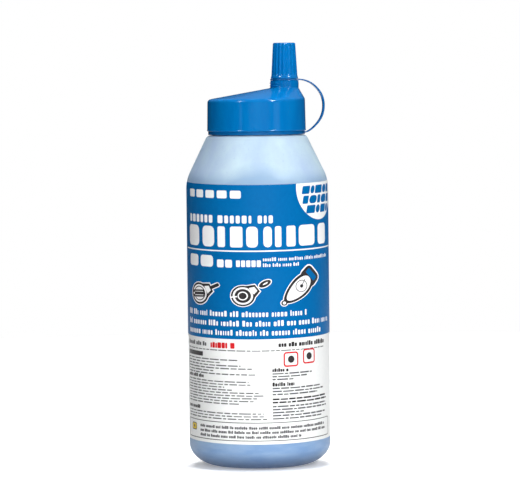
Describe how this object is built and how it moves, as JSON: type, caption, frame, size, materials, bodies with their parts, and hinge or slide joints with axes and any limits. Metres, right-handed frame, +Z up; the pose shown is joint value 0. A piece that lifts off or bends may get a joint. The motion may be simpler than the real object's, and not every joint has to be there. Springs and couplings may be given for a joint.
{
  "type": "chalk powder squeeze bottle",
  "caption": "Round squeeze bottle of blue marking chalk with a wrap label, a screw cap with a sloping roof and off-centre spout, and a fluted spout cap on a tether.",
  "frame": {"origin": "centre of the base, on the surface that the bottle stands on", "axes": "+Z up along the bottle's axis; +X towards the spout and the tether's strap"},
  "size_m": [0.088, 0.088, 0.262],
  "materials": {
    "bottle": "satin",
    "powder": "matte",
    "label": "satin",
    "cap": "gloss",
    "liner": "matte",
    "tether": "satin"
  },
  "bodies": {
    "bottle": {"bottle": "bottle", "chalk_powder": "powder", "label": "label"},
    "liner": {"cap_liner": "liner"},
    "main_cap": {"main_cap": "cap", "tether_neck_ring": "tether", "tether_strap": "tether"},
    "spout_ring": {"tether_spout_ring": "tether"},
    "spout_cap": {"spout_cap": "cap"}
  },
  "joints": [
    {"name": "main_cap_lift", "type": "slide", "parent": "bottle", "child": "liner", "axis": [0, 0, 1], "range_m": [0, 0.02035]},
    {"name": "main_cap_turn", "type": "hinge", "parent": "liner", "child": "main_cap", "pos_m": [0, 0, 0.2155], "axis": [0, 0, 1], "range_deg": [0, 1440]},
    {"name": "spout_cap_lift", "type": "slide", "parent": "main_cap", "child": "spout_ring", "axis": [0, 0, 1], "range_m": [0, 0.02245], "deforming": ["tether_strap"]},
    {"name": "spout_cap_turn", "type": "hinge", "parent": "spout_ring", "child": "spout_cap", "pos_m": [0.0181, 0, 0.245], "axis": [0, 0, 1], "range_deg": [0, 2520]}
  ],
  "couplings": [
    {"joint": "main_cap_lift", "follows": "main_cap_turn", "m_per_rad": 0.00080851},
    {"joint": "spout_cap_lift", "follows": "spout_cap_turn", "m_per_rad": 0.0005093}
  ]
}
